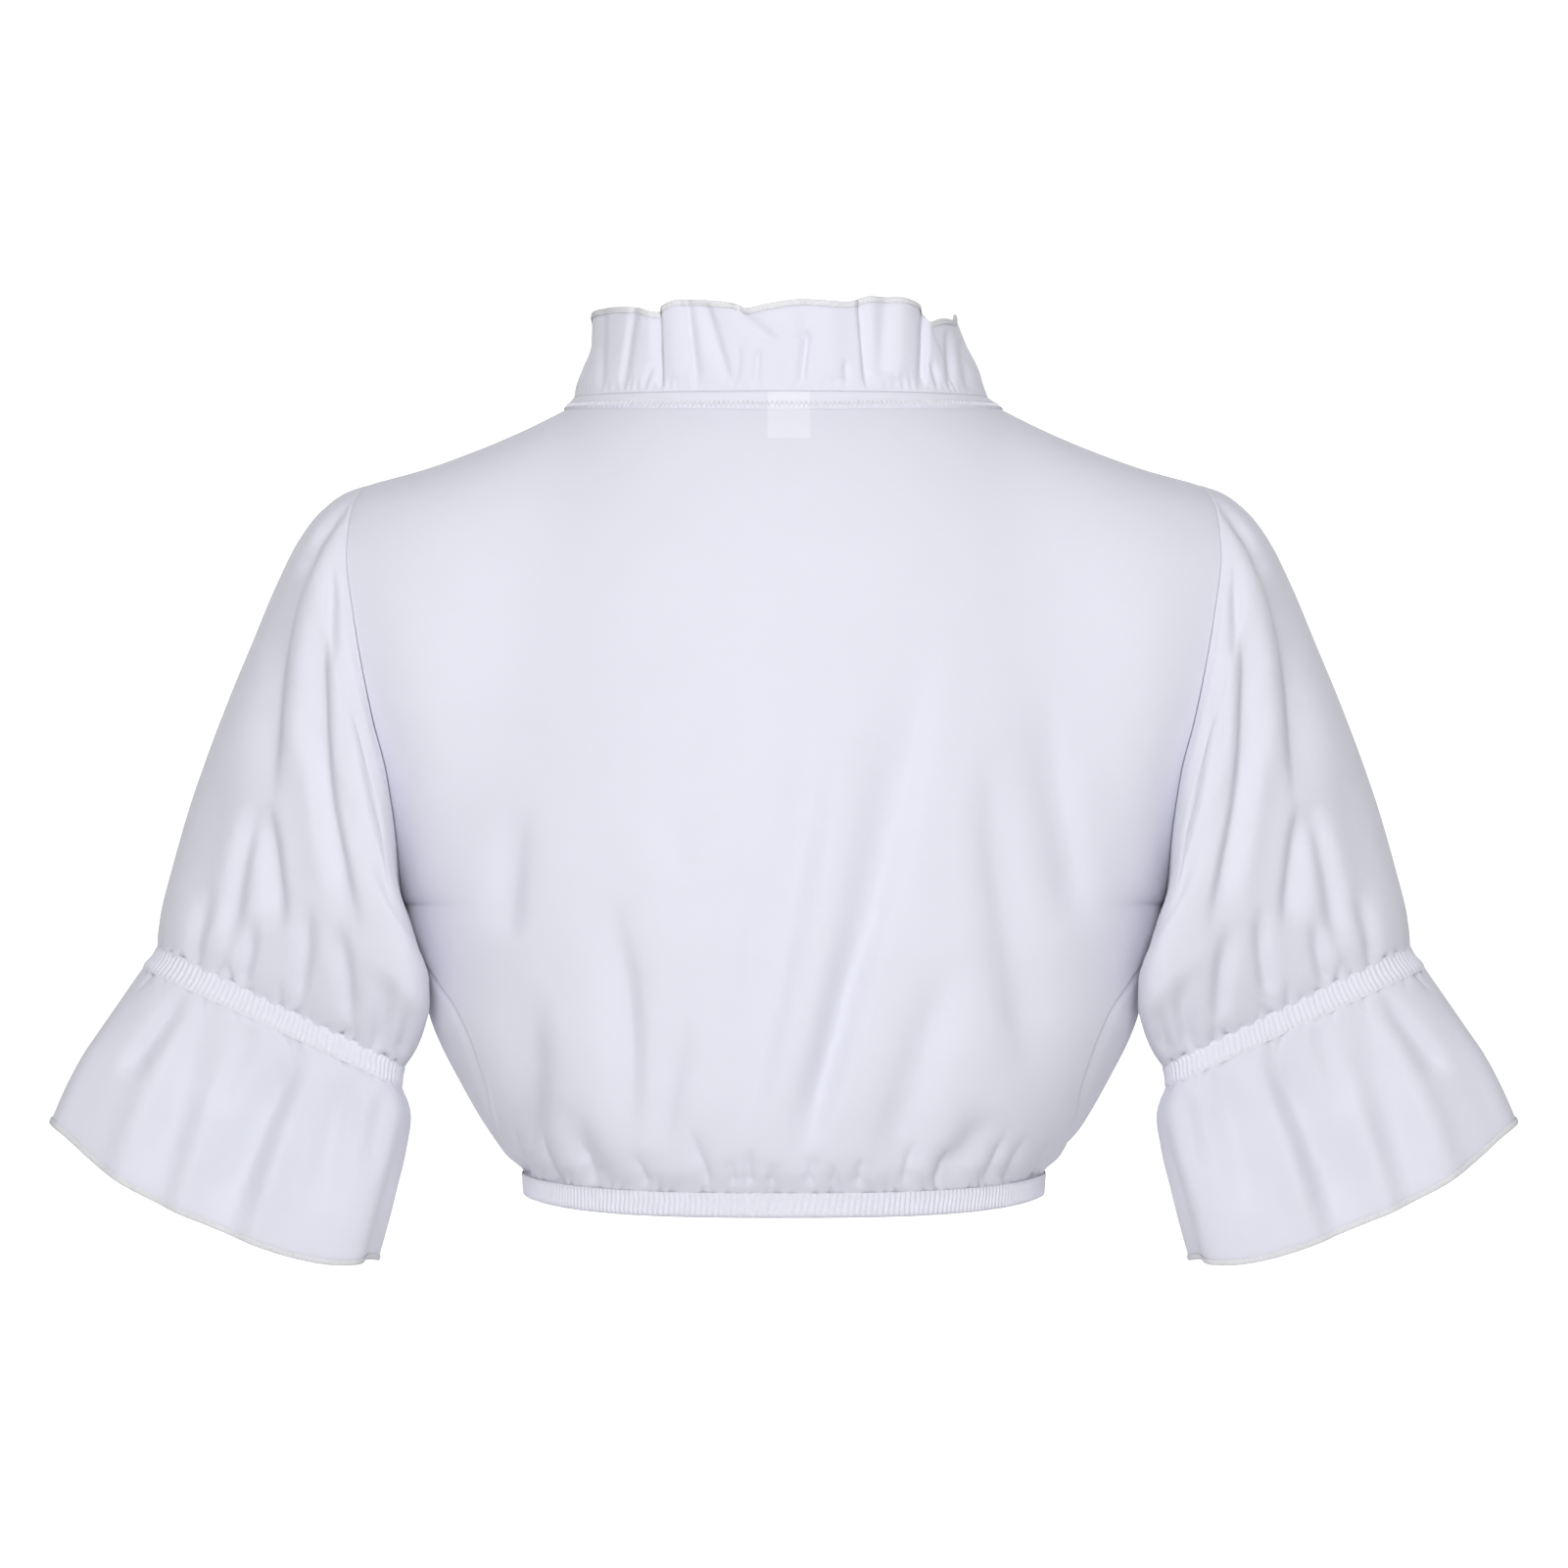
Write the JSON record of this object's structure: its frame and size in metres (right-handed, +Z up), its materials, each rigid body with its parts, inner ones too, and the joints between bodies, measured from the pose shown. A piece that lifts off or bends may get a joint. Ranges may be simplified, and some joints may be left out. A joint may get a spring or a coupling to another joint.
{
  "type": "blouse",
  "caption": "Cropped blouse with a standing ruffle collar, puffed elbow-length sleeves, elastic hem and flared flounces below elastic sleeve bands.",
  "frame": {"origin": "midway between the two neck points of the shoulder seams, level with them, where the wearer's shoulders carry the blouse", "axes": "+X towards the wearer's right sleeve, +Y out of the front, +Z up"},
  "size_m": [0.6772, 0.2452, 0.4369],
  "materials": {
    "cloth": "fine plain weave, matte with a slight sheen",
    "elastic_cloth": "the same cloth, finely gathered over elastic",
    "label_tape": "smooth woven tape, blank"
  },
  "bodies": {
    "root": {"back": "cloth", "front": "cloth", "neckband": "cloth", "collar_ruffle": "cloth", "hem_casing": "elastic_cloth", "sleeve_left": "cloth", "sleeve_right": "cloth", "sleeve_band_left": "elastic_cloth", "sleeve_band_right": "elastic_cloth", "flounce_left": "cloth", "flounce_right": "cloth", "neck_label": "label_tape"}
  },
  "joints": []
}
